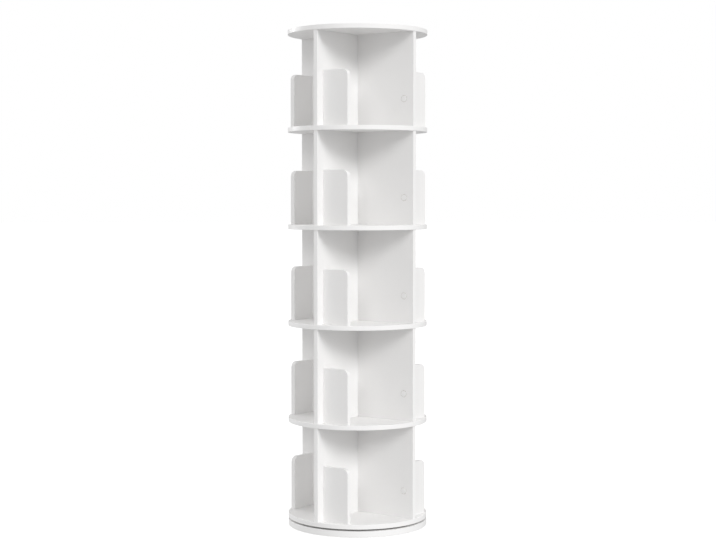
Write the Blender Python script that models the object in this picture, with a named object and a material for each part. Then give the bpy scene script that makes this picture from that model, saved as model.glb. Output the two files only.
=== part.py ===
"""Revolving bookcase with five tiers of open compartments.

Six round panels are stacked on crosses of upright boards. Each cross makes four open
compartments, and each compartment has a low book stop, fixed to one upright near its
outer end. The whole tower turns without end on a ball bearing, which is screwed to
the bottom shelf and to the round base board under it.

Lengths are in metres and +Z is up. The origin is on the floor, on the turning axis.
An arm is one leg of a cross. Pieces on an arm are drawn on the arm that points along
+X, in tier height, where z = 0 is the upper face of the shelf that the tier stands on.
"""

import math

import bmesh
import bpy
from mathutils import Matrix, Vector

# Gap between two pieces that touch
SEAT = 0.0003

# Tower
TIER_COUNT = 5
TIER_CLEAR = 0.304
BOARD = 0.015
SHELF_DIAMETER = 0.460
ARM_COUNT = 4
UPRIGHT_SETBACK = 0.002
EDGE_ROUND = 0.001

# Book stops
STOP_HEIGHT = 0.178
STOP_WIDTH = 0.098
STOP_INSET = 0.0295
STOP_CORNER = 0.020

# Base board, as wide as the shelves, and its floor pads
BASE_THICKNESS = 0.020
PAD_COUNT = 6
PAD_DIAMETER = 0.030
PAD_HEIGHT = 0.002
PAD_INSET = 0.030

# Ball bearing between the base board and the bottom shelf
BEARING_HEIGHT = 0.006
BALL_COUNT = 16
BALL_PATH_RADIUS = 0.085
BALL_PLAY = 0.00015
RACE_THICKNESS = 0.0018
RACE_WEB = 0.0008
RACE_SHOULDER = 0.006
RACE_FLANGE = 0.014
GROOVE_FLOOR = 0.002
CAGE_THICKNESS = 0.0008
CAGE_WIDTH = 0.009
BEARING_SCREW_COUNT = 4
ACCESS_HOLE_DIAMETER = 0.012

# Countersunk screws, from the head's face to the tip
STOP_SCREW_LENGTH = 0.040
SHELF_SCREW_LENGTH = 0.045
SCREW_DIAMETER = 0.005
SCREW_HEAD_DIAMETER = 0.009
SCREW_HEAD_HEIGHT = 0.003
BEARING_SCREW_LENGTH = 0.012
BEARING_SCREW_DIAMETER = 0.0035
BEARING_SCREW_HEAD_DIAMETER = 0.0065
BEARING_SCREW_HEAD_HEIGHT = 0.0014

# Wooden dowels and the caps that cover the heads of the stops' screws
DOWEL_DIAMETER = 0.008
DOWEL_LENGTH = 0.030
DOWEL_IN_FACE = 0.010
CAP_DIAMETER = 0.020
CAP_THICKNESS = 0.0008

# Places of the fixings: shares of an arm's length and of a stop's height
SHELF_SCREW_SHARE = 0.66
SHELF_DOWEL_SHARE = 0.35
STOP_SCREW_SHARE = 0.50
STOP_DOWEL_SHARE = 0.22

# Facets
PANEL_SIDES = 60
RACE_SIDES = 48
CAGE_SIDES = 32
DISC_SIDES = 12
FIXING_SIDES = 6
CORNER_STEPS = 4
BALL_SIDES = 8
BALL_RINGS = 4
SMOOTH_ANGLE = math.radians(35)

# Sizes that follow from the ones above
PANEL_RADIUS = SHELF_DIAMETER / 2
TIER_PITCH = TIER_CLEAR + BOARD
UPRIGHT_REACH = PANEL_RADIUS - UPRIGHT_SETBACK
STOP_OUTER = UPRIGHT_REACH - STOP_INSET
STOP_MIDDLE = STOP_OUTER - BOARD / 2
STOP_NEAR = BOARD / 2 + SEAT
STOP_FAR = BOARD / 2 + STOP_WIDTH
BASE_TOP = PAD_HEIGHT + BASE_THICKNESS
BEARING_MIDDLE = BASE_TOP + BEARING_HEIGHT / 2
BEARING_TOP = BASE_TOP + BEARING_HEIGHT
BALL_RADIUS = BEARING_HEIGHT / 2 - SEAT - RACE_WEB - BALL_PLAY
FLANGE_MIDDLE = RACE_SHOULDER + RACE_FLANGE / 2
QUARTER = math.pi / 2


# Objects and materials

def clear_scene():
    """Remove every object of the scene that the script starts in."""
    for item in list(bpy.data.objects):
        bpy.data.objects.remove(item, do_unlink=True)


def make_material(name, colour, roughness, metallic=0.0):
    """Make a Principled material of one colour."""
    material = bpy.data.materials.new(name)
    material.use_nodes = True
    shader = material.node_tree.nodes["Principled BSDF"]
    shader.inputs["Base Color"].default_value = (*colour, 1.0)
    shader.inputs["Roughness"].default_value = roughness
    shader.inputs["Metallic"].default_value = metallic
    return material


def link(name, data=None):
    """Add an object to the scene."""
    item = bpy.data.objects.new(name, data)
    bpy.context.collection.objects.link(item)
    return item


def pivot(name, height):
    """Add an empty on the turning axis, which carries the pieces of one body."""
    empty = link(name)
    empty.location = (0, 0, height)
    return empty


def place(name, mesh, material, parent, height=0.0, turn=0.0):
    """Add one piece, lifted along the turning axis and turned about it."""
    if not mesh.materials:
        mesh.materials.append(material)
        mesh.shade_smooth()
        mesh.set_sharp_from_angle(angle=SMOOTH_ANGLE)
    piece = link(name, mesh)
    piece.parent = parent
    piece.location = (0, 0, height - parent.location.z)
    piece.rotation_euler = (0, 0, turn)
    return piece


# Shapes

def to_mesh(bm, name):
    """Turn a bmesh into a mesh with its faces pointing out."""
    bmesh.ops.recalc_face_normals(bm, faces=bm.faces)
    mesh = bpy.data.meshes.new(name)
    bm.to_mesh(mesh)
    bm.free()
    return mesh


def spin(bm, chain, matrix, sides):
    """Turn a chain of joined vertices one full circle about the matrix's own Z."""
    edges = [edge for edge in bm.edges if edge.verts[0] in chain and edge.verts[1] in chain]
    bmesh.ops.spin(bm, geom=chain + edges, cent=matrix.translation, steps=sides,
                   axis=matrix.to_3x3().col[2], angle=math.tau, use_merge=True)


def turned(name, profile, places=(Matrix(),), sides=FIXING_SIDES):
    """Make equal solids, turned from (radius, z) points that run from end to end."""
    bm = bmesh.new()
    for matrix in places:
        chain = [bm.verts.new(matrix @ Vector((radius, 0, z))) for radius, z in profile]
        for pair in zip(chain, chain[1:]):
            bm.edges.new(pair)
        spin(bm, chain, matrix, sides)
        ends = [edge for edge in bm.edges if edge.is_boundary]
        bmesh.ops.holes_fill(bm, edges=ends, sides=sides)
    return to_mesh(bm, name)


def turned_ring(name, outline, sides):
    """Make a ring about the turning axis from a closed outline of (radius, z) points."""
    bm = bmesh.new()
    chain = [bm.verts.new((radius, 0, z)) for radius, z in outline]
    for pair in zip(chain, chain[1:] + chain[:1]):
        bm.edges.new(pair)
    spin(bm, chain, Matrix(), sides)
    return to_mesh(bm, name)


def extrude(bm, points, along):
    """Extrude a flat outline and return the vertices of its two faces, in order."""
    near = [bm.verts.new(point) for point in points]
    face = bm.faces.new(near)
    grown = bmesh.ops.extrude_face_region(bm, geom=[face], use_keep_orig=True)
    far = [part for part in grown["geom"] if isinstance(part, bmesh.types.BMVert)]
    bmesh.ops.translate(bm, verts=far, vec=along)
    return near, far


def gathered(*meshes):
    """Gather meshes into one, for use in a Boolean."""
    bm = bmesh.new()
    for mesh in meshes:
        bm.from_mesh(mesh)
    return to_mesh(bm, "gathered")


def boolean(mesh, operation, other):
    """Return the union of two meshes, or the first with the other taken out of it."""
    block = link("block", mesh)
    tool = link("tool", other)
    modifier = block.modifiers.new(operation, "BOOLEAN")
    modifier.operation = operation
    modifier.solver = "EXACT"
    modifier.object = tool
    depsgraph = bpy.context.evaluated_depsgraph_get()
    result = bpy.data.meshes.new_from_object(block.evaluated_get(depsgraph))
    result.name = mesh.name
    bpy.data.objects.remove(block)
    bpy.data.objects.remove(tool)
    return result


def cut(mesh, *cutters):
    """Return a copy of a mesh with the cutters' solids taken out of it."""
    return boolean(mesh, "DIFFERENCE", gathered(*cutters))


def fused(mesh, *additions):
    """Return a copy of a mesh with the additions joined to it, one after another."""
    for addition in additions:
        mesh = boolean(mesh, "UNION", addition)
    return mesh


# Fixings, each drawn along its own +Z

def screw_profile(length, diameter, head_diameter, head_height):
    """Outline of a tapered, countersunk screw; z = 0 is the face it is driven into."""
    return [(head_diameter / 2, 0), (diameter / 2, head_height), (diameter / 4, length)]


STOP_SCREW = screw_profile(STOP_SCREW_LENGTH, SCREW_DIAMETER,
                           SCREW_HEAD_DIAMETER, SCREW_HEAD_HEIGHT)
SHELF_SCREW = screw_profile(SHELF_SCREW_LENGTH, SCREW_DIAMETER,
                            SCREW_HEAD_DIAMETER, SCREW_HEAD_HEIGHT)
BEARING_SCREW = screw_profile(BEARING_SCREW_LENGTH, BEARING_SCREW_DIAMETER,
                              BEARING_SCREW_HEAD_DIAMETER, BEARING_SCREW_HEAD_HEIGHT)
# z = 0 is the joint that a dowel crosses, and the drilled face lies above it
DOWEL = [(DOWEL_DIAMETER / 2, DOWEL_IN_FACE - DOWEL_LENGTH),
         (DOWEL_DIAMETER / 2, DOWEL_IN_FACE)]


def bores(profile, places):
    """Cutter for the holes that hold turned pieces, with the seat gap all round."""
    wider = [(radius + SEAT, z) for radius, z in profile]
    low, high = profile[0][1] - SEAT, profile[-1][1] + SEAT
    wider[0], wider[-1] = (wider[0][0], low), (wider[-1][0], high)
    return turned("bores", wider, places)


def around(matrix, count, lift=0.0, chosen=None):
    """Places of equal pieces, spaced evenly about the turning axis and lifted."""
    steps = range(count) if chosen is None else chosen
    raised = Matrix.Translation((0, 0, lift))
    return [raised @ Matrix.Rotation(step * math.tau / count, 4, "Z") @ matrix
            for step in steps]


def on_arms(matrix, lift=0.0, arms=None):
    """Places of a fixing on the arms of a cross."""
    return around(matrix, ARM_COUNT, lift, arms)


def stop_screw_place():
    """From the upright's bare face, through the upright, into the stop's edge."""
    head = Matrix.Translation((STOP_MIDDLE, -BOARD / 2, STOP_HEIGHT * STOP_SCREW_SHARE))
    return head @ Matrix.Rotation(-QUARTER, 4, "X")


def stop_dowel_place():
    """From the stop's edge into the upright's face, under the screw."""
    joint = Matrix.Translation((STOP_MIDDLE, BOARD / 2, STOP_HEIGHT * STOP_DOWEL_SHARE))
    return joint @ Matrix.Rotation(QUARTER, 4, "X")


def shelf_screw_place():
    """Up through the shelf, into the lower edge of the upright that stands on it."""
    return Matrix.Translation((UPRIGHT_REACH * SHELF_SCREW_SHARE, 0, -BOARD))


def shelf_dowel_place():
    """From the upright's upper edge into the panel above it."""
    return Matrix.Translation((UPRIGHT_REACH * SHELF_DOWEL_SHARE, 0, TIER_CLEAR))


def base_screw_place():
    """Down through the lower race's flange, into the base board."""
    spot = Vector((BALL_PATH_RADIUS + FLANGE_MIDDLE, 0, BASE_TOP + SEAT + RACE_THICKNESS))
    return Matrix.Translation(spot) @ Matrix.Rotation(math.pi, 4, "X")


def tower_screw_place():
    """Up through the upper race's flange, into the bottom shelf."""
    spot = Vector((BALL_PATH_RADIUS - FLANGE_MIDDLE, 0,
                   BEARING_TOP - SEAT - RACE_THICKNESS))
    return Matrix.Translation(spot)


# Boards

def panel(name, radius, thickness):
    """Make a round panel with an eased rim; z = 0 is its upper face."""
    rim = radius - EDGE_ROUND
    profile = [(rim, -thickness), (radius, EDGE_ROUND - thickness),
               (radius, -EDGE_ROUND), (rim, 0)]
    return turned(name, profile, sides=PANEL_SIDES)


def upright(name, reach_back, arms):
    """Make an upright, with the dowels and the shelf screws that it holds.

    The corners of an outer end are eased, and those of an end that butts against
    another upright are square.
    """
    side = BOARD / 2
    outline = [(UPRIGHT_REACH - EDGE_ROUND, -side), (UPRIGHT_REACH, EDGE_ROUND - side),
               (UPRIGHT_REACH, side - EDGE_ROUND), (UPRIGHT_REACH - EDGE_ROUND, side)]
    if reach_back:
        outline += [(-x, -y) for x, y in outline]
    else:
        outline += [(side + SEAT, side), (side + SEAT, -side)]
    bm = bmesh.new()
    extrude(bm, [(x, y, SEAT) for x, y in outline], (0, 0, TIER_CLEAR - SEAT - SEAT))
    drilled = cut(to_mesh(bm, name),
                  bores(STOP_SCREW, on_arms(stop_screw_place(), arms=arms)),
                  bores(DOWEL, on_arms(stop_dowel_place(), arms=arms)))
    return fused(drilled,
                 turned("screws", SHELF_SCREW, on_arms(shelf_screw_place(), arms=arms)),
                 turned("dowels", DOWEL, on_arms(shelf_dowel_place(), arms=arms)))


def book_stop(name):
    """Make a book stop, with the screw, the screw's cap and the dowel that hold it.

    Its free upper corner is rounded, and its free edges are eased.
    """
    centre_y, centre_z = STOP_FAR - STOP_CORNER, STOP_HEIGHT - STOP_CORNER
    turns = [QUARTER * step / CORNER_STEPS for step in range(CORNER_STEPS + 1)]
    corner = [(centre_y + STOP_CORNER * math.sin(turn),
               centre_z + STOP_CORNER * math.cos(turn)) for turn in turns]
    free = [(STOP_NEAR, STOP_HEIGHT), *corner, (STOP_FAR, SEAT)]
    outline = [*free, (STOP_NEAR, SEAT)]
    bm = bmesh.new()
    faces = extrude(bm, [(STOP_OUTER - BOARD, y, z) for y, z in outline], (BOARD, 0, 0))
    eased = [bm.edges.get(pair) for side in faces
             for pair in zip(side[:len(free)], side[1:len(free)])]
    bmesh.ops.bevel(bm, geom=eased, offset=EDGE_ROUND, segments=1, affect="EDGES")

    cap = [(CAP_DIAMETER / 2, -SEAT - CAP_THICKNESS), (CAP_DIAMETER / 2, -SEAT)]
    peg_end = -SEAT - CAP_THICKNESS / 2
    screw = [(STOP_SCREW[0][0], peg_end), *STOP_SCREW]
    return fused(to_mesh(bm, name), turned("screw", screw, [stop_screw_place()]),
                 turned("cap", cap, [stop_screw_place()], DISC_SIDES),
                 turned("dowel", DOWEL, [stop_dowel_place()]))


# Bearing

def race_outline(flange):
    """Outline of a race's half section, as (radius, height) points.

    The height is counted from the face that the race is screwed to. The flange that
    holds the screws runs outwards for flange = 1 and inwards for flange = -1.
    """
    floor = GROOVE_FLOOR / 2
    lip = floor + RACE_THICKNESS - RACE_WEB
    points = [(-RACE_SHOULDER, 0), (RACE_SHOULDER + RACE_FLANGE, 0),
              (RACE_SHOULDER + RACE_FLANGE, RACE_THICKNESS), (lip, RACE_THICKNESS),
              (floor, RACE_WEB), (-floor, RACE_WEB), (-lip, RACE_THICKNESS),
              (-RACE_SHOULDER, RACE_THICKNESS)]
    return [(BALL_PATH_RADIUS + flange * offset, height) for offset, height in points]


def race(name, outline, screw_place):
    """Make a race from its outline, with countersunk holes for its screws."""
    screws = around(screw_place, BEARING_SCREW_COUNT)
    return cut(turned_ring(name, outline, RACE_SIDES), bores(BEARING_SCREW, screws))


def ball_cage(name):
    """Make the flat ring that spaces the balls, with the balls that it holds."""
    low, high = BEARING_MIDDLE - CAGE_THICKNESS / 2, BEARING_MIDDLE + CAGE_THICKNESS / 2
    inner, outer = BALL_PATH_RADIUS - CAGE_WIDTH / 2, BALL_PATH_RADIUS + CAGE_WIDTH / 2
    outline = [(inner, low), (outer, low), (outer, high), (inner, high)]
    centre = Matrix.Translation((BALL_PATH_RADIUS, 0, BEARING_MIDDLE))
    bm = bmesh.new()
    for matrix in around(centre, BALL_COUNT):
        bmesh.ops.create_uvsphere(bm, u_segments=BALL_SIDES, v_segments=BALL_RINGS,
                                  radius=BALL_RADIUS, matrix=matrix)
    return fused(turned_ring(name, outline, CAGE_SIDES), to_mesh(bm, "balls"))


def place_screws(prefix, screw_place, material, parent):
    """Add the screws of one race, each as a piece of its own."""
    screw = turned(prefix, BEARING_SCREW, [screw_place])
    for number in range(BEARING_SCREW_COUNT):
        turn = number * math.tau / BEARING_SCREW_COUNT
        place(f"{prefix}_{number + 1}", screw, material, parent, turn=turn)


# Assembly

def tier_floor(tier):
    """Height of the upper face of the shelf that a tier stands on."""
    return BEARING_TOP + BOARD + tier * TIER_PITCH


def build_base(frame):
    """Add the base board, its pads, and the race that is screwed to it."""
    laminate = make_material("base_laminate", (0.88, 0.88, 0.87), 0.38)
    felt = make_material("pad_felt", (0.55, 0.55, 0.54), 0.95)
    steel = make_material("lower_race_steel", (0.62, 0.63, 0.64), 0.35, 1.0)
    zinc = make_material("base_screw_zinc", (0.70, 0.70, 0.68), 0.40, 1.0)

    access = [(ACCESS_HOLE_DIAMETER / 2, -BASE_THICKNESS - SEAT),
              (ACCESS_HOLE_DIAMETER / 2, SEAT)]
    hole = Matrix.Translation((BALL_PATH_RADIUS - FLANGE_MIDDLE, 0, 0))
    screws = around(base_screw_place(), BEARING_SCREW_COUNT, -BASE_TOP)
    board = cut(panel("base_board", PANEL_RADIUS, BASE_THICKNESS - SEAT),
                bores(BEARING_SCREW, screws),
                turned("access_hole", access, [hole], DISC_SIDES))
    place("base_board", board, laminate, frame, BASE_TOP)

    pad = turned("pad", [(PAD_DIAMETER / 2, 0), (PAD_DIAMETER / 2, PAD_HEIGHT)],
                 [Matrix.Translation((PANEL_RADIUS - PAD_INSET, 0, 0))], DISC_SIDES)
    for number in range(PAD_COUNT):
        place(f"base_pad_{number + 1}", pad, felt, frame, turn=number * math.tau / PAD_COUNT)

    outline = [(radius, BASE_TOP + SEAT + height) for radius, height in race_outline(1)]
    place("bearing_lower_race", race("lower_race", outline, base_screw_place()),
          steel, frame)
    place_screws("bearing_base_screw", base_screw_place(), zinc, frame)


def build_cage(turntable):
    """Add the ball cage, which turns at half the tower's speed."""
    nylon = make_material("cage_nylon", (0.82, 0.81, 0.76), 0.50)
    place("bearing_ball_cage", ball_cage("ball_cage"), nylon, turntable)


def build_panels(tower):
    """Add the bottom shelf, the shelves between the tiers, and the top panel."""
    laminate = make_material("panel_laminate", (0.90, 0.90, 0.89), 0.35)
    screws = bores(SHELF_SCREW, on_arms(shelf_screw_place()))
    dowels = bores(DOWEL, on_arms(shelf_dowel_place(), -TIER_PITCH))
    bearing = bores(BEARING_SCREW, around(tower_screw_place(), BEARING_SCREW_COUNT,
                                          -tier_floor(0)))
    blank = panel("panel", PANEL_RADIUS, BOARD)
    place("bottom_shelf", cut(blank, screws, bearing), laminate, tower, tier_floor(0))
    middle = cut(blank, screws, dowels)
    for tier in range(1, TIER_COUNT):
        place(f"shelf_{tier + 1}", middle, laminate, tower, tier_floor(tier))
    place("top_panel", cut(blank, dowels), laminate, tower, tier_floor(TIER_COUNT))


def build_tiers(tower):
    """Add the uprights and the book stops of every tier."""
    laminate = make_material("upright_laminate", (0.90, 0.90, 0.89), 0.35)
    stop_laminate = make_material("stop_laminate", (0.91, 0.91, 0.90), 0.35)
    wide = upright("wide_upright", True, [0, 2])
    narrow = upright("narrow_upright", False, [0])
    stop = book_stop("book_stop")
    for tier in range(TIER_COUNT):
        height = tier_floor(tier)
        prefix = f"tier_{tier + 1}"
        place(f"{prefix}_wide_upright", wide, laminate, tower, height)
        for side, turn in (("front", -QUARTER), ("rear", QUARTER)):
            place(f"{prefix}_{side}_upright", narrow, laminate, tower, height, turn)
        for arm in range(ARM_COUNT):
            turn = arm * math.tau / ARM_COUNT
            place(f"{prefix}_book_stop_{arm + 1}", stop, stop_laminate, tower, height, turn)


def build_tower_bearing(tower):
    """Add the race that is screwed to the bottom shelf, with its screws."""
    steel = make_material("upper_race_steel", (0.62, 0.63, 0.64), 0.35, 1.0)
    zinc = make_material("tower_screw_zinc", (0.70, 0.70, 0.68), 0.40, 1.0)
    outline = [(radius, BEARING_TOP - SEAT - height) for radius, height in race_outline(-1)]
    place("bearing_upper_race", race("upper_race", outline, tower_screw_place()),
          steel, tower)
    place_screws("bearing_tower_screw", tower_screw_place(), zinc, tower)


def main():
    """Build the bookcase: a base, a ball cage that turns and a tower that turns."""
    clear_scene()
    frame = pivot("base_frame", 0.0)
    turntable = pivot("cage_turn", BEARING_MIDDLE)
    tower = pivot("tower_turn", BEARING_MIDDLE)
    build_base(frame)
    build_cage(turntable)
    build_tower_bearing(tower)
    build_panels(tower)
    build_tiers(tower)


main()
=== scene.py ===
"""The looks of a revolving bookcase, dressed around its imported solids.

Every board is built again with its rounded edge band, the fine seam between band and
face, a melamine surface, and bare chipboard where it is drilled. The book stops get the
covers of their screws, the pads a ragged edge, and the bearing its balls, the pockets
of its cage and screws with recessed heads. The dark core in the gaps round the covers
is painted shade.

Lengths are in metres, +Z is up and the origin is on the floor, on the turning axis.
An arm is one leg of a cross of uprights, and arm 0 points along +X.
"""

import math

import bmesh
import bpy
from mathutils import Matrix, Vector, noise


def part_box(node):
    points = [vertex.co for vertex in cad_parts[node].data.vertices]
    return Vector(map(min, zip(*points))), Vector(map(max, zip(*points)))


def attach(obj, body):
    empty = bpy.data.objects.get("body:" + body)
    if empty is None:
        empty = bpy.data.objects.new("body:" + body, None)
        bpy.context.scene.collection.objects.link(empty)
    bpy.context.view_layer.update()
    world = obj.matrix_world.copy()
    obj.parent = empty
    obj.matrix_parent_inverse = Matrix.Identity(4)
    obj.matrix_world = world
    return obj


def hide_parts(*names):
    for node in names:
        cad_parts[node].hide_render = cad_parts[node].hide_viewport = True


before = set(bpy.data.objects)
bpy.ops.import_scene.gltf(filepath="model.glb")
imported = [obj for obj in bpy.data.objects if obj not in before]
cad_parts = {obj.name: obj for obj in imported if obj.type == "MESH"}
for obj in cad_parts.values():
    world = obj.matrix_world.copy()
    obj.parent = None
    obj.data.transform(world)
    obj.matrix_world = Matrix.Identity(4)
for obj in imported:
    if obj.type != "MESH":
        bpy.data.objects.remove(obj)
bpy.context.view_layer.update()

QUARTER = math.pi / 2

# Corners closer than WELD become one, and edges sharper than CREASE stay sharp
WELD = 0.000005
CREASE = math.radians(34)

# Counts that the solids set
TIER_COUNT = 5
ARM_COUNT = 4
PAD_COUNT = 6
BEARING_SCREW_COUNT = 4
BALL_COUNT = 16
PANELS = ["bottom_shelf", "shelf_2", "shelf_3", "shelf_4", "shelf_5", "top_panel"]

# Sizes read from the solids
PANEL_LOW, PANEL_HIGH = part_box("shelf_2")
PANEL_RADIUS = PANEL_HIGH.x
BOARD = PANEL_HIGH.z - PANEL_LOW.z
UPRIGHT_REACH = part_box("tier_1_wide_upright")[1].x
STOP_LOW, STOP_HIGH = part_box("tier_1_book_stop_1")
STOP_MIDDLE = (STOP_HIGH.x + STOP_LOW.x) / 2
STOP_FAR = STOP_HIGH.y
STOP_HEIGHT = STOP_HIGH.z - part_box("bottom_shelf")[1].z
CAP_RADIUS = (STOP_HIGH.x - STOP_LOW.x) / 2
CAP_PROUD = -STOP_LOW.y - BOARD / 2
BASE_LOW, BASE_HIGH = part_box("base_board")
PAD_LOW, PAD_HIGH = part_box("base_pad_1")
LOWER_RACE_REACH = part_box("bearing_lower_race")[1].x
UPPER_RACE_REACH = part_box("bearing_upper_race")[1].x
CAGE_LOW, CAGE_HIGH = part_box("bearing_ball_cage")

# Boards
JOINT = 0.0001
BAND = 0.0012
BAND_ROUND = 0.0010
SEAM = 0.00016
SEAM_DEPTH = 0.00012
SEAM_ROWS = 2
BUTT_EASE = 0.0006
STOP_CORNER = 0.020
STOP_SCREW_SHARE = 0.50
ROUND_STEPS = 4
CORNER_STEPS = 16
PANEL_SIDES = 256

# Covers over the screws of the book stops
CAP_SIDES = 64
CAP_RIM = 0.0006
CAP_FOOT_INSET = CAP_RIM / 2
CAP_FOOT_RISE = CAP_RIM / 4
CAP_CROWN = 0.0003
CAP_CROWN_SHARES = (0.85, 0.6, 0.35, 0.1)
# The gap round each cover takes the dark core colour, as painted shade round the cover
CAP_GAP = 0.0006
CAP_GAP_DEPTH = 0.0012

# Floor pads
PAD_SIDES = 72
PAD_EDGE = 0.0005
PAD_FUZZ = 0.0002

# Bearing
RACE_SHOULDER = 0.006
RACE_THICKNESS = 0.0018
RACE_EDGE = 0.0003
RACE_EDGE_STEPS = 2
RACE_SIDES = 192
GROOVE_WIDTH = 0.0040
GROOVE_DEPTH = 0.0010
GROOVE_STEPS = 10
CAGE_THICKNESS = 0.0008
CAGE_SIDES = 128
POCKET_PLAY = 0.0002
POCKET_SIDES = 24
BALL_SIDES = 24
ACCESS_RADIUS = 0.006
ACCESS_SIDES = 48
BALL_PATH = UPPER_RACE_REACH - RACE_SHOULDER
RACE_FLANGE = LOWER_RACE_REACH - BALL_PATH - RACE_SHOULDER

# Countersunk screws: length, head radius, head height, shank radius, thread pitch
BEARING_SCREW = (0.012, 0.00325, 0.0014, 0.00175, 0.0012)
SHELF_SCREW = (0.045, 0.0045, 0.0030, 0.0025, 0.0018)
SHELF_SCREW_SHARE = 0.66
SCREW_SIDES = 32
HEAD_PLAY = 0.00015
HEAD_EDGE_SHARE = 1 / 8
THREAD_SHARE = 0.22
TIP_SHARE = 0.12
TAPER_POWER = 4

# Cross recess of a screw: two square tapers, crossed, as shares of the head
RECESS_LENGTH_SHARE = 1.10
RECESS_WIDTH_SHARE = 0.24
RECESS_DEPTH_SHARE = 0.60
RECESS_MOUTH = math.sqrt(0.5)
RECESS_FLOOR = 0.2
RECESS_SPAN = 2.0

# Colours: the darker and the lighter tone of each material
WHITE = ((0.855, 0.849, 0.843), (0.885, 0.879, 0.873))
BASE_WHITE = ((0.845, 0.839, 0.832), (0.875, 0.869, 0.862))
BAND_WHITE = ((0.86, 0.855, 0.850), (0.89, 0.885, 0.880))
# Chipboard core, also used as painted shade in the gaps round the screw covers
CHIPBOARD_AND_SHADE = ((0.20, 0.15, 0.10), (0.42, 0.33, 0.23))
IVORY = ((0.76, 0.75, 0.69), (0.82, 0.81, 0.76))
SHEET_GREY = ((0.50, 0.51, 0.52), (0.68, 0.69, 0.70))
ZINC_GREY = ((0.58, 0.59, 0.60), (0.76, 0.77, 0.77))
BALL_GREY = ((0.60, 0.60, 0.61), (0.72, 0.72, 0.73))
FELT_GREY = ((0.36, 0.36, 0.35), (0.66, 0.66, 0.64))
FLOOR_GREY = ((0.30, 0.30, 0.30), (0.31, 0.31, 0.31))
PURE_WHITE = (1.0, 1.0, 1.0, 1.0)

# Sockets of a Mix node that mixes colours
MIX_SHARE = 0
MIX_TONES = (6, 7)
MIX_RESULT = 2

# Camera at the photograph's viewpoint
CAMERA_AZIMUTH = math.radians(36.0)
CAMERA_DISTANCE = 5.127
CAMERA_HEIGHT = 1.0916
CAMERA_AIM_HEIGHT = 0.8487
CAMERA_AIM_ASIDE = 0.0016
CAMERA_LENS = 77.71

# Sky and floor
BACKDROP_LEVEL = 1.0
SKY_LEVEL = 0.59
FLOOR_RADIUS = 60.0
FLOOR_SIDES = 96
FLOOR_GLOW = 0.85

# Studio lights: azimuth, elevation and softness in degrees, and strength
LIGHTS = {
    "key": (80, 30, 20, 1.49),
    "front": (20, 25, 20, 0.48),
    "fill": (-90, 20, 40, 1.22),
}


# Materials

class Shader:
    """A Principled material, and short ways to add the nodes that drive it."""

    def __init__(self, name, **values):
        self.material = bpy.data.materials.new(name)
        self.material.use_nodes = True
        self.tree = self.material.node_tree
        self.surface = self.tree.nodes["Principled BSDF"]
        for socket, value in values.items():
            self.surface.inputs[socket.replace("_", " ")].default_value = value

    def add(self, kind, **settings):
        """Add a node; a setting is a value, or the output that feeds the socket.

        A setting called _0 or _1 belongs to the socket of that number.
        """
        made = self.tree.nodes.new(kind)
        for name, value in settings.items():
            if hasattr(made, name):
                setattr(made, name, value)
                continue
            socket = made.inputs[int(name[1:]) if name[1:].isdigit() else name]
            if isinstance(value, bpy.types.NodeSocket):
                self.tree.links.new(value, socket)
            else:
                socket.default_value = value
        return made

    def drive(self, socket, output):
        """Let an output drive a socket of the surface."""
        self.tree.links.new(output, self.surface.inputs[socket])

    def place(self, spread=3.0):
        """Coordinates that move with the piece, set off by another amount on each."""
        own = self.add("ShaderNodeTexCoord").outputs["Object"]
        pick = self.add("ShaderNodeObjectInfo").outputs["Random"]
        offset = self.add("ShaderNodeMath", operation="MULTIPLY", _0=pick, _1=spread)
        return self.add("ShaderNodeVectorMath", operation="ADD", _0=own,
                        _1=offset.outputs[0]).outputs[0]

    def stretch(self, place, scale):
        """Coordinates stretched along the axes."""
        return self.add("ShaderNodeVectorMath", operation="MULTIPLY", _0=place,
                        _1=scale).outputs[0]

    def noise(self, place, scale, detail=2.0, rough=0.5):
        """Even noise from 0 to 1, with features of about 1 / scale."""
        return self.add("ShaderNodeTexNoise", Vector=place, Scale=scale, Detail=detail,
                        Roughness=rough).outputs["Fac"]

    def cells(self, place, scale):
        """Distance to the nearest of the random points that make cells."""
        return self.add("ShaderNodeTexVoronoi", feature="SMOOTH_F1", Vector=place,
                        Scale=scale).outputs["Distance"]

    def span(self, value, low, high, start=0.3, end=0.7):
        """Spread a pattern, from its start to its end, between two values."""
        made = self.add("ShaderNodeMapRange", Value=value)
        for name, number in (("From Min", start), ("From Max", end), ("To Min", low),
                             ("To Max", high)):
            made.inputs[name].default_value = number
        return made.outputs["Result"]

    def about(self, value, middle, reach):
        """Spread a pattern over a reach below and above a middle value."""
        return self.span(value, middle - reach, middle + reach)

    def sum(self, first, second):
        """Add two values."""
        return self.add("ShaderNodeMath", operation="ADD", _0=first,
                        _1=second).outputs[0]

    def mixed(self, main, other, share, start=0.3, end=0.7):
        """Add two patterns up to one from 0 to 1, in which the main one has a share."""
        return self.sum(self.span(main, 0.0, share, start, end),
                        self.span(other, 0.0, 1.0 - share))

    def tint(self, pattern, tones):
        """Mix a darker and a lighter tone by a pattern."""
        made = self.add("ShaderNodeMix", data_type="RGBA")
        self.tree.links.new(pattern, made.inputs[MIX_SHARE])
        for socket, tone in zip(MIX_TONES, tones):
            made.inputs[socket].default_value = (*tone, 1.0)
        return made.outputs[MIX_RESULT]

    def bump(self, height, distance, strength, onto=None):
        """Raise the surface by a pattern, over an earlier bump where one is given."""
        made = self.add("ShaderNodeBump", Height=height, Distance=distance,
                        Strength=strength)
        if onto is not None:
            self.tree.links.new(onto, made.inputs["Normal"])
        return made.outputs["Normal"]


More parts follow.
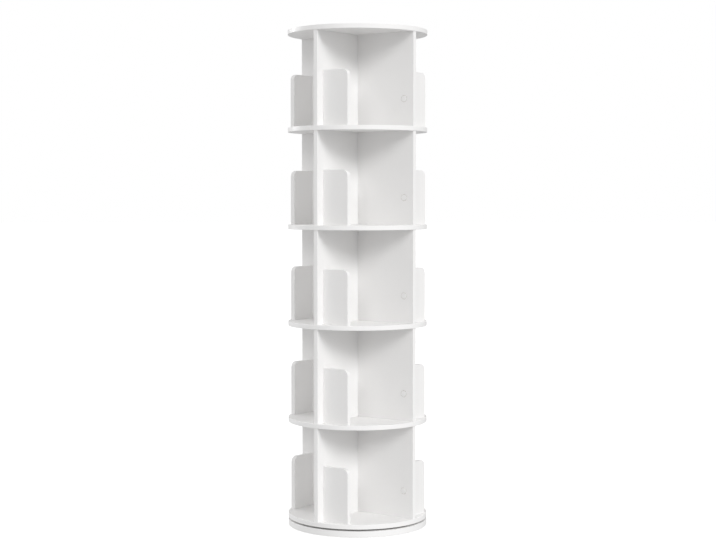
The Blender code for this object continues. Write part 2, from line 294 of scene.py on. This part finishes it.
def melamine(name, tones, roughness):
    """White melamine paper on chipboard: pearl emboss, soft clouds, faint handling."""
    look = Shader(name, Specular_IOR_Level=0.45)
    place = look.place()
    clouds = look.noise(place, scale=5.0, detail=3.0)
    along = look.stretch(place, (1.0, 1.0, 0.35))
    fibres = look.noise(along, scale=420.0, detail=3.0, rough=0.6)
    look.drive("Base Color", look.tint(look.mixed(clouds, fibres, share=0.6), tones))
    touched = look.noise(place, scale=22.0, detail=4.0, rough=0.65)
    handled = look.span(touched, low=0.0, high=0.05, start=0.5, end=0.75)
    speckle = look.about(look.noise(place, scale=1500.0, detail=1.0), roughness, 0.03)
    look.drive("Roughness", look.sum(speckle, handled))
    cells, waves = look.cells(place, scale=1100.0), look.noise(place, scale=60.0)
    pearl = look.bump(cells, distance=0.00008, strength=0.6)
    look.drive("Normal", look.bump(waves, distance=0.00012, strength=0.25, onto=pearl))
    return look.material


def banding(name, tones):
    """Plastic edge band: smoother than the faces, with faint lines from the rollers."""
    look = Shader(name, Specular_IOR_Level=0.5)
    place = look.place()
    streaks = look.noise(look.stretch(place, (60.0, 60.0, 900.0)), scale=1.0)
    clouds = look.noise(place, scale=9.0)
    look.drive("Base Color", look.tint(look.mixed(clouds, streaks, share=0.5), tones))
    gloss = look.noise(place, scale=240.0, detail=3.0)
    look.drive("Roughness", look.span(gloss, low=0.27, high=0.36))
    look.drive("Normal", look.bump(streaks, distance=0.00003, strength=0.3))
    return look.material


def chipboard_and_shade(name, tones):
    """The core of a board where it is drilled: pressed chips, lighter and darker. Round
    the screw covers it is painted shade.
    """
    look = Shader(name, Roughness=0.9, Specular_IOR_Level=0.3)
    place = look.place()
    chips = look.cells(place, scale=900.0)
    across = look.stretch(place, (1.0, 1.0, 3.0))
    grain = look.noise(across, scale=500.0, detail=3.0, rough=0.6)
    mixed = look.mixed(chips, grain, share=0.6, start=0.1, end=0.7)
    look.drive("Base Color", look.tint(mixed, tones))
    look.drive("Normal", look.bump(chips, distance=0.0002, strength=0.8))
    return look.material


def moulded_plastic(name, tones, roughness):
    """Moulded plastic with a fine eroded grain."""
    look = Shader(name, Specular_IOR_Level=0.5)
    place = look.place()
    look.drive("Base Color", look.tint(look.noise(place, scale=70.0, detail=3.0), tones))
    grain = look.noise(place, scale=2600.0, rough=0.6)
    look.drive("Roughness", look.about(grain, roughness, 0.05))
    look.drive("Normal", look.bump(grain, distance=0.00004, strength=0.4))
    return look.material


def rolled_steel(name, tones, rings_per_metre=4200.0):
    """Zinc-plated sheet, pressed round: rings from the tool over faint spangle."""
    look = Shader(name, Metallic=1.0)
    own = look.add("ShaderNodeTexCoord").outputs["Object"]
    flat = look.stretch(own, (1.0, 1.0, 0.0))
    radius = look.add("ShaderNodeVectorMath", operation="LENGTH", _0=flat)
    reach = look.add("ShaderNodeMath", operation="MULTIPLY",
                     _0=radius.outputs["Value"], _1=rings_per_metre).outputs[0]
    rings = look.add("ShaderNodeTexNoise", noise_dimensions="1D", W=reach,
                     Detail=2.0).outputs["Fac"]
    spangle = look.cells(own, scale=160.0)
    mixed = look.mixed(spangle, rings, share=0.6, start=0.2, end=0.8)
    look.drive("Base Color", look.tint(mixed, tones))
    look.drive("Roughness", look.span(rings, low=0.24, high=0.40))
    look.drive("Normal", look.bump(rings, distance=0.00002, strength=0.5))
    return look.material


def plated_steel(name, tones, roughness):
    """Small plated or polished steel pieces, with fine tumbling marks."""
    look = Shader(name, Metallic=1.0)
    place = look.place()
    marks = look.noise(place, scale=1800.0, detail=4.0, rough=0.7)
    look.drive("Base Color", look.tint(look.noise(place, scale=300.0), tones))
    look.drive("Roughness", look.span(marks, low=roughness, high=roughness + 0.12))
    look.drive("Normal", look.bump(marks, distance=0.00002, strength=0.3))
    return look.material


def pressed_felt(name, tones):
    """Grey pressed felt: matted fibres, lighter and darker ones mixed."""
    look = Shader(name, Roughness=0.95, Sheen_Weight=0.35, Sheen_Roughness=0.5)
    place = look.place()
    fibres = look.add("ShaderNodeTexNoise", Vector=place, Scale=900.0, Detail=5.0,
                      Roughness=0.7, Distortion=2.5).outputs["Fac"]
    tufts = look.noise(place, scale=260.0)
    look.drive("Base Color", look.tint(look.mixed(fibres, tufts, share=0.7), tones))
    look.drive("Normal", look.bump(fibres, distance=0.0003, strength=0.8))
    return look.material


def studio_floor(name, tones):
    """Plain pale floor with the faint unevenness of matt paint."""
    look = Shader(name, Roughness=0.9, Specular_IOR_Level=0.1,
                  Emission_Color=PURE_WHITE, Emission_Strength=FLOOR_GLOW)
    own = look.add("ShaderNodeTexCoord").outputs["Object"]
    look.drive("Base Color", look.tint(look.noise(own, scale=3.0, detail=3.0), tones))
    return look.material


FACE = melamine("white_melamine", WHITE, roughness=0.40)
BASE_FACE = melamine("base_melamine", BASE_WHITE, roughness=0.42)
EDGE = banding("white_edge_band", BAND_WHITE)
# Bare core where boards are drilled, and painted shade in the gaps round the screw
# covers
CORE_AND_SHADE = chipboard_and_shade("chipboard_core", CHIPBOARD_AND_SHADE)
COVER = moulded_plastic("cover_plastic", WHITE, roughness=0.45)
NYLON = moulded_plastic("natural_nylon", IVORY, roughness=0.48)
RACE_STEEL = rolled_steel("zinc_plated_sheet", SHEET_GREY)
SCREW_STEEL = plated_steel("bright_zinc", ZINC_GREY, roughness=0.28)
BALL_STEEL = plated_steel("polished_steel", BALL_GREY, roughness=0.08)
FELT = pressed_felt("grey_felt", FELT_GREY)


# Mesh tools

def to_mesh(bm, name, materials):
    """Turn a bmesh into a smooth-shaded mesh that keeps its creases sharp."""
    bmesh.ops.recalc_face_normals(bm, faces=bm.faces)
    mesh = bpy.data.meshes.new(name)
    bm.to_mesh(mesh)
    bm.free()
    for material in materials:
        mesh.materials.append(material)
    mesh.shade_smooth()
    mesh.set_sharp_from_angle(angle=CREASE)
    return mesh


def arc(centre, radius, start, turn, steps):
    """Points of an arc in a plane, from a start angle through a turn."""
    angles = [start + turn * step / steps for step in range(steps + 1)]
    return [(centre[0] + radius * math.cos(angle), centre[1] + radius * math.sin(angle))
            for angle in angles]


def ring_section(inner, outer, low, high):
    """Section of a flat ring, as (radius, z)."""
    return [(inner, low), (outer, low), (outer, high), (inner, high)]


def bridge(bm, rings, closed, slot_of=lambda row: 0):
    """Join each ring of vertices to the next with quads, and set their material."""
    for row, (first, second) in enumerate(zip(rings, rings[1:])):
        pairs = list(zip(first, second))
        steps = zip(pairs, pairs[1:] + pairs[:1]) if closed else zip(pairs, pairs[1:])
        for (a, b), (c, d) in steps:
            bm.faces.new((a, c, d, b)).material_index = slot_of(row)


def turned(name, profile, sides, materials, slot_of=lambda row: 0, closed=False):
    """Turn (radius, z) points about Z; an open profile is capped at both ends."""
    bm = bmesh.new()
    spokes = [math.tau * side / sides for side in range(sides)]
    rows = [[bm.verts.new((radius * math.cos(a), radius * math.sin(a), z))
             for a in spokes] for radius, z in profile]
    bridge(bm, rows + rows[:1] if closed else rows, True, slot_of)
    if not closed:
        bm.faces.new(rows[0])
        bm.faces.new(rows[-1])
    return to_mesh(bm, name, materials)


def piece(name, mesh, body, replaced=(), height=0.0, turn=0.0, even=False):
    """Put one piece in its place, on its body, and hide the nodes it stands for."""
    made = bpy.data.objects.new(name, mesh)
    bpy.context.scene.collection.objects.link(made)
    made.location = (0, 0, height)
    made.rotation_euler = (0, 0, turn)
    if even:
        normals = made.modifiers.new("even_normals", "WEIGHTED_NORMAL")
        normals.keep_sharp = True
    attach(made, body)
    if replaced:
        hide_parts(*replaced)
    return made


def cut(mesh, cutter):
    """Return a mesh cut by another, with no two corners in one spot."""
    block = bpy.data.objects.new("block", mesh)
    tool = bpy.data.objects.new("tool", cutter)
    for item in (block, tool):
        bpy.context.scene.collection.objects.link(item)
    modifier = block.modifiers.new("cut", "BOOLEAN")
    modifier.operation = "DIFFERENCE"
    modifier.object = tool
    depsgraph = bpy.context.evaluated_depsgraph_get()
    result = bpy.data.meshes.new_from_object(block.evaluated_get(depsgraph))
    bm = bmesh.new()
    bm.from_mesh(result)
    bmesh.ops.remove_doubles(bm, verts=bm.verts, dist=WELD)
    bmesh.ops.dissolve_degenerate(bm, edges=bm.edges, dist=WELD)
    bm.to_mesh(result)
    bm.free()
    result.name = mesh.name
    result.set_sharp_from_angle(angle=CREASE)
    bpy.data.objects.remove(block)
    bpy.data.objects.remove(tool)
    return result


def drilled(board, cutter):
    """Return a board cut by a mesh, with its dark core bare where it is cut. Round the
    screw covers that dark core is painted shade.
    """
    board.materials.append(CORE_AND_SHADE)
    for material in board.materials:
        cutter.materials.append(material)
    for face in cutter.polygons:
        face.material_index = len(board.materials) - 1
    return cut(board, cutter)


def gathered(name, mesh, places):
    """Copy a mesh to several places, in one mesh."""
    bm = bmesh.new()
    for matrix in places:
        copy = mesh.copy()
        copy.transform(matrix)
        bm.from_mesh(copy)
        bpy.data.meshes.remove(copy)
    return to_mesh(bm, name, mesh.materials[:])


def put_in_order(bm):
    """Sort corners by place, then edges and faces by their corners.

    An operator that adds a sphere leaves its faces in another order in each run.
    """
    keys = [(bm.verts, lambda vert: vert.co[:])]
    keys += [(parts, lambda part: sorted(vert.index for vert in part.verts))
             for parts in (bm.edges, bm.faces)]
    for parts, key in keys:
        ranks = {part: rank for rank, part in enumerate(sorted(parts, key=key))}
        parts.sort(key=ranks.get)
        parts.index_update()


def around(matrix, count):
    """Places of equal things, spaced evenly about the turning axis."""
    return [Matrix.Rotation(math.tau * step / count, 4, "Z") @ matrix
            for step in range(count)]


# Boards

def band_section(half):
    """Section of a banded edge, as (inset from the edge, place across the board).

    It runs from the seam on one face, round the edge, to the seam on the other.
    """
    side = [(BAND + SEAM, half), (BAND + SEAM / 2, half - SEAM_DEPTH), (BAND, half)]
    centre = (BAND_ROUND, half - BAND_ROUND)
    side += arc(centre, BAND_ROUND, QUARTER, QUARTER, ROUND_STEPS)
    return side + [(inset, -across) for inset, across in reversed(side)]


def band_slot(row):
    """Material of a row of a banded edge: 1, the band, between its seams, or else 0."""
    row_count = len(band_section(BOARD / 2)) - 1
    return 1 if SEAM_ROWS <= row < row_count - SEAM_ROWS else 0


def panel_mesh(name, radius, thickness, face):
    """A round board with a band round its rim; z = 0 is its upper face."""
    middle = -thickness / 2
    profile = [(radius - inset, middle + across)
               for inset, across in band_section(thickness / 2)]
    return turned(name, profile, PANEL_SIDES, [face, EDGE], band_slot)


def upright_mesh(name, reach_back, height):
    """An upright on its shelf, at z = 0, with banded outer ends and an eased butt end.

    The gaps round the covers are cut into it, and their dark core is painted shade round
    each cover.
    """
    half, butt = BOARD / 2, BOARD / 2 + JOINT
    outer = [(UPRIGHT_REACH - inset, across) for inset, across in band_section(half)]
    slots = [band_slot(row) for row in range(len(outer))]
    if reach_back:
        outline = outer + [(-x, -y) for x, y in outer]
        slots += slots
    else:
        outline = outer + [(butt + BUTT_EASE, -half), (butt, BUTT_EASE - half),
                           (butt, half - BUTT_EASE), (butt + BUTT_EASE, half)]
        slots += [0] * (len(outline) - len(outer))
    bm = bmesh.new()
    rows = [[bm.verts.new((x, y, z)) for x, y in outline]
            for z in (JOINT, height - JOINT)]
    bridge(bm, rows, closed=True)
    for face, slot in zip(list(bm.faces), slots):
        face.material_index = slot
    bm.faces.new(rows[0])
    bm.faces.new(rows[1])
    board = to_mesh(bm, name, [FACE, EDGE])
    # The gap takes the dark core colour: painted shade that darkens a ring round the
    # cover
    far, deep = CAP_RADIUS + CAP_GAP, CAP_GAP_DEPTH
    section = ring_section(CAP_RADIUS, far, -deep, deep)
    gap = turned("cover_gap", section, CAP_SIDES, [], closed=True)
    places = around(cover_place(), 2) if reach_back else [cover_place()]
    return drilled(board, gathered("cover_gaps", gap, places))


def stop_mesh(name):
    """A book stop on arm 0, with one band over its top, its corner and its end."""
    near = BOARD / 2 + JOINT
    bm = bmesh.new()
    rings = []
    for inset, across in band_section(BOARD / 2):
        top, far = STOP_HEIGHT - inset, STOP_FAR - inset
        centre = (STOP_FAR - STOP_CORNER, STOP_HEIGHT - STOP_CORNER)
        corner = arc(centre, STOP_CORNER - inset, QUARTER, -QUARTER, CORNER_STEPS)
        line = [(near, top), *corner, (far, JOINT)]
        rings.append([bm.verts.new((STOP_MIDDLE + across, y, z)) for y, z in line])
    bridge(bm, rings, closed=False, slot_of=band_slot)
    feet = [bm.verts.new((STOP_MIDDLE + side * BOARD / 2, near, JOINT))
            for side in (1, -1)]
    bm.faces.new([*rings[0], feet[0]])
    bm.faces.new([*rings[-1], feet[1]])
    bm.faces.new([feet[0], *[ring[0] for ring in rings], feet[1]])
    bm.faces.new([feet[0], *[ring[-1] for ring in rings], feet[1]])
    return to_mesh(bm, name, [FACE, EDGE])


def cover_place():
    """Where the cover of a stop's screw sits: on the bare face of arm 0's upright."""
    spot = Vector((STOP_MIDDLE, -BOARD / 2, STOP_HEIGHT * STOP_SCREW_SHARE))
    return Matrix.Translation(spot) @ Matrix.Rotation(QUARTER, 4, "X")


def cover_mesh(name):
    """The round cover over a stop's screw, with an eased rim and a low crown."""
    face, rim = JOINT, CAP_PROUD - CAP_CROWN
    foot = [(CAP_RADIUS - CAP_FOOT_INSET, face), (CAP_RADIUS, face + CAP_FOOT_RISE)]
    round_off = arc((CAP_RADIUS - CAP_RIM, rim - CAP_RIM), CAP_RIM, 0, QUARTER,
                    ROUND_STEPS)
    crown = [(CAP_RADIUS * share, CAP_PROUD - CAP_CROWN * share * share)
             for share in CAP_CROWN_SHARES]
    mesh = turned(name, [*foot, *round_off, *crown], CAP_SIDES, [COVER])
    mesh.transform(cover_place())
    return mesh


def build_panels():
    """The bottom shelf, the shelves between the tiers and the top panel."""
    top = panel_mesh("top", PANEL_RADIUS, BOARD, FACE)
    spot = Matrix.Translation((UPRIGHT_REACH * SHELF_SCREW_SHARE, 0, -BOARD))
    shelf = drilled(panel_mesh("shelf", PANEL_RADIUS, BOARD, FACE),
                    head_cutter(SHELF_SCREW, around(spot, ARM_COUNT)))
    for name in PANELS:
        piece(f"{name}_board", top if name == "top_panel" else shelf, "carousel",
              [name], height=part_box(name)[1].z, even=True)
    screw = screw_mesh("shelf_screw", SHELF_SCREW)
    screw.transform(spot)
    for arm in range(ARM_COUNT):
        piece(f"bottom_shelf_screw_{arm + 1}", screw, "carousel",
              height=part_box("bottom_shelf")[1].z, turn=QUARTER * arm)


def build_tiers():
    """The uprights, book stops and covers of every tier."""
    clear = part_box("shelf_2")[0].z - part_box("bottom_shelf")[1].z
    wide = upright_mesh("wide_upright", True, clear)
    narrow = upright_mesh("narrow_upright", False, clear)
    stop, cover = stop_mesh("book_stop"), cover_mesh("screw_cover")
    for tier in range(TIER_COUNT):
        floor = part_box(PANELS[tier])[1].z
        prefix = f"tier_{tier + 1}"
        for side, mesh, turn in (("wide", wide, 0.0), ("front", narrow, -QUARTER),
                                 ("rear", narrow, QUARTER)):
            node = f"{prefix}_{side}_upright"
            piece(f"{node}_board", mesh, "carousel", [node],
                  height=floor, turn=turn, even=True)
        for arm in range(ARM_COUNT):
            node = f"{prefix}_book_stop_{arm + 1}"
            piece(f"{node}_board", stop, "carousel", [node],
                  height=floor, turn=QUARTER * arm, even=True)
            piece(f"{node}_screw_cover", cover, "carousel",
                  height=floor, turn=QUARTER * arm)


# Base

def pad_mesh(name):
    """A felt pad: a flat disc with a soft, slightly ragged edge."""
    height = PAD_HIGH.z - PAD_LOW.z
    radius = (PAD_HIGH.x - PAD_LOW.x) / 2
    foot = arc((radius - PAD_EDGE, PAD_EDGE), PAD_EDGE, -QUARTER, QUARTER, ROUND_STEPS)
    head = arc((radius - PAD_EDGE, height - PAD_EDGE), PAD_EDGE, 0, QUARTER, ROUND_STEPS)
    mesh = turned(name, foot + head, PAD_SIDES, [FELT])
    for vertex in mesh.vertices:
        out = Vector((vertex.co.x, vertex.co.y, 0)).normalized()
        ragged = noise.noise(vertex.co / PAD_EDGE)
        vertex.co -= out * PAD_FUZZ * (1 + ragged) / 2
    mesh.transform(Matrix.Translation(((PAD_HIGH.x + PAD_LOW.x) / 2, 0, PAD_LOW.z)))
    return mesh


def build_base():
    """The base board, with the hole to the upper race's screws, and its felt pads."""
    thickness = BASE_HIGH.z - BASE_LOW.z
    hole = [(ACCESS_RADIUS, -thickness * 2), (ACCESS_RADIUS, thickness)]
    cutter = turned("access_hole", hole, ACCESS_SIDES, [])
    low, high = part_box("bearing_tower_screw_1")
    cutter.transform(Matrix.Translation(((low.x + high.x) / 2, 0, 0)))
    board = drilled(panel_mesh("base", BASE_HIGH.x, thickness, BASE_FACE), cutter)
    piece("base_board_round", board, "base", ["base_board"],
          height=BASE_HIGH.z, even=True)
    pad = pad_mesh("pad")
    for number in range(PAD_COUNT):
        piece(f"base_pad_{number + 1}_felt", pad, "base",
              [f"base_pad_{number + 1}"], turn=math.tau * number / PAD_COUNT)


# Bearing

def race_section(inner, outer):
    """Half section of a race, as (radius, height over the face it is screwed to)."""
    top, lip = RACE_THICKNESS, GROOVE_WIDTH / 2
    turns = [math.pi * step / GROOVE_STEPS for step in range(GROOVE_STEPS + 1)]
    bed = [(BALL_PATH + lip * math.cos(turn), top - GROOVE_DEPTH * math.sin(turn))
           for turn in turns]
    outside = arc((outer - RACE_EDGE, top - RACE_EDGE), RACE_EDGE, 0, QUARTER,
                  RACE_EDGE_STEPS)
    inside = arc((inner + RACE_EDGE, top - RACE_EDGE), RACE_EDGE, QUARTER, QUARTER,
                 RACE_EDGE_STEPS)
    return [(inner, 0), (outer, 0), *outside, *bed, *inside]


def screw_mesh(name, sizes):
    """A countersunk screw along +Z from its head, with thread and cross recess."""
    length, head, depth, shank, pitch = sizes
    neck = depth * 2
    turns = int((length - neck) / pitch)
    profile = [(head, 0), (head, depth * HEAD_EDGE_SHARE), (shank, depth)]
    for step in range(turns):
        root = neck + step * pitch
        taper = 1 - (1 - TIP_SHARE) * (step / turns) ** TAPER_POWER
        profile += [(shank * (1 - THREAD_SHARE) * taper, root),
                    (shank * taper, root + pitch / 2)]
    profile += [(shank * TIP_SHARE / 2, length)]
    body = turned(name, profile, SCREW_SIDES, [SCREW_STEEL])
    size = (head * RECESS_LENGTH_SHARE, head * RECESS_WIDTH_SHARE,
            depth * RECESS_DEPTH_SHARE, 1)
    for turn in (0, QUARTER):
        square = Matrix.Rotation(turn, 4, "Z") @ Matrix.Diagonal(size)
        bm = bmesh.new()
        bmesh.ops.create_cone(bm, cap_ends=True, segments=4, radius1=RECESS_MOUTH,
                              radius2=RECESS_FLOOR, depth=RECESS_SPAN,
                              matrix=square @ Matrix.Rotation(QUARTER / 2, 4, "Z"))
        body = cut(body, to_mesh(bm, "recess", [SCREW_STEEL]))
    return body


def head_cutter(sizes, places):
    """Countersinks for screws, with a little play round each head."""
    length, head, depth, shank, _ = sizes
    profile = [(head + depth + HEAD_PLAY, -depth), (head + HEAD_PLAY, 0),
               (shank + HEAD_PLAY, depth), (shank + HEAD_PLAY, length)]
    sink = turned("countersink", profile, SCREW_SIDES, [])
    return gathered("countersinks", sink, places)


def screw_places(box_of, heads_up):
    """Places of one race's screws, from the box of its first one."""
    low, high = box_of
    spot = Vector(((low.x + high.x) / 2, 0, high.z if heads_up else low.z))
    turn = Matrix.Rotation(math.pi if heads_up else 0.0, 4, "X")
    return around(Matrix.Translation(spot) @ turn, BEARING_SCREW_COUNT)


def build_race(side, inner, outer, heads_up, body):
    """One race and its screws; the lower one has its screws' heads up."""
    low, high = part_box(f"bearing_{side}_race")
    face, rise = (low.z, 1) if heads_up else (high.z, -1)
    section = [(radius, face + rise * height)
               for radius, height in race_section(inner, outer)]
    mesh = turned(f"{side}_race", section, RACE_SIDES, [RACE_STEEL], closed=True)
    prefix = "bearing_base_screw" if heads_up else "bearing_tower_screw"
    places = screw_places(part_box(f"{prefix}_1"), heads_up)
    mesh = cut(mesh, head_cutter(BEARING_SCREW, places))
    piece(f"bearing_{side}_race_ring", mesh, body,
          [f"bearing_{side}_race"], even=True)
    screw = screw_mesh(prefix, BEARING_SCREW)
    screw.transform(places[0])
    for number in range(BEARING_SCREW_COUNT):
        node = f"{prefix}_{number + 1}"
        piece(f"{node}_zinc", screw, body, [node],
              turn=math.tau * number / BEARING_SCREW_COUNT)


def build_cage():
    """The cage, with a pocket for each ball, and its balls."""
    middle = (CAGE_HIGH.z + CAGE_LOW.z) / 2
    ball = (CAGE_HIGH.z - CAGE_LOW.z) / 2
    wide, thick = CAGE_HIGH.x - BALL_PATH, CAGE_THICKNESS / 2
    section = ring_section(BALL_PATH - wide, BALL_PATH + wide, middle - thick,
                           middle + thick)
    ring = turned("cage", section, CAGE_SIDES, [NYLON], closed=True)
    places = around(Matrix.Translation((BALL_PATH, 0, middle)), BALL_COUNT)
    pocket = turned("pocket", [(ball + POCKET_PLAY, -ball), (ball + POCKET_PLAY, ball)],
                    POCKET_SIDES, [])
    ring = cut(ring, gathered("pockets", pocket, places))
    piece("bearing_ball_cage_ring", ring, "ball_cage",
          ["bearing_ball_cage"], even=True)
    bm = bmesh.new()
    bmesh.ops.create_uvsphere(bm, u_segments=BALL_SIDES, v_segments=BALL_SIDES // 2,
                              radius=ball)
    put_in_order(bm)
    balls = gathered("balls", to_mesh(bm, "ball", [BALL_STEEL]), places)
    piece("bearing_balls", balls, "ball_cage")


def build_bearing():
    """Both races with their screws, and the cage with its balls between them."""
    near, far = BALL_PATH - RACE_SHOULDER, BALL_PATH + RACE_SHOULDER
    build_race("lower", near, far + RACE_FLANGE, heads_up=True, body="base")
    build_race("upper", near - RACE_FLANGE, far, heads_up=False, body="carousel")
    build_cage()


# Studio

def away(azimuth, elevation):
    """Direction from the object; azimuth 0 is in front, along -Y, and grows to +X."""
    level = math.cos(elevation)
    return Vector((math.sin(azimuth) * level, -math.cos(azimuth) * level,
                   math.sin(elevation)))


def build_lights():
    """Soft, even lights from far away."""
    for name, (*angles, strength) in LIGHTS.items():
        azimuth, elevation, softness = map(math.radians, angles)
        light = bpy.data.lights.new(name, "SUN")
        light.angle = softness
        light.energy = strength
        sun = bpy.data.objects.new(name, light)
        sun.rotation_euler = away(azimuth, elevation).to_track_quat("Z", "Y").to_euler()
        bpy.context.scene.collection.objects.link(sun)


def build_sky():
    """Even light from all round, and a white backdrop."""
    world = bpy.data.worlds.new("studio")
    bpy.context.scene.world = world
    world.use_nodes = True
    tree = world.node_tree
    seen = tree.nodes["Background"]
    lit = tree.nodes.new("ShaderNodeBackground")
    for shown, level in ((seen, BACKDROP_LEVEL), (lit, SKY_LEVEL)):
        shown.inputs["Color"].default_value = PURE_WHITE
        shown.inputs["Strength"].default_value = level
    mix = tree.nodes.new("ShaderNodeMixShader")
    path = tree.nodes.new("ShaderNodeLightPath")
    tree.links.new(path.outputs["Is Camera Ray"], mix.inputs[0])
    tree.links.new(lit.outputs[0], mix.inputs[1])
    tree.links.new(seen.outputs[0], mix.inputs[2])
    tree.links.new(mix.outputs[0], tree.nodes["World Output"].inputs["Surface"])


def build_floor():
    """A round, pale floor that reaches past the horizon of every view.

    It is seen but lights nothing, because the lower half of the sky does that.
    """
    bm = bmesh.new()
    bmesh.ops.create_circle(bm, cap_ends=True, segments=FLOOR_SIDES, radius=FLOOR_RADIUS)
    paint = studio_floor("pale_floor", FLOOR_GREY)
    floor = bpy.data.objects.new("floor", to_mesh(bm, "floor", [paint]))
    bpy.context.scene.collection.objects.link(floor)
    floor.visible_diffuse = False
    floor.visible_glossy = False
    floor.visible_shadow = False


def build_camera():
    """The camera at the photograph's viewpoint, aimed a little aside of the axis."""
    camera = bpy.data.objects.new("camera", bpy.data.cameras.new("camera"))
    camera.data.lens = CAMERA_LENS
    place = away(CAMERA_AZIMUTH, 0.0) * CAMERA_DISTANCE + Vector((0, 0, CAMERA_HEIGHT))
    aside = Vector((math.cos(CAMERA_AZIMUTH), math.sin(CAMERA_AZIMUTH), 0))
    target = aside * CAMERA_AIM_ASIDE + Vector((0, 0, CAMERA_AIM_HEIGHT))
    camera.location = place
    camera.rotation_euler = (place - target).to_track_quat("Z", "Y").to_euler()
    bpy.context.scene.collection.objects.link(camera)
    bpy.context.scene.camera = camera
    bpy.context.scene.view_settings.view_transform = "Standard"


build_panels()
build_tiers()
build_base()
build_bearing()
build_sky()
build_floor()
build_lights()
build_camera()
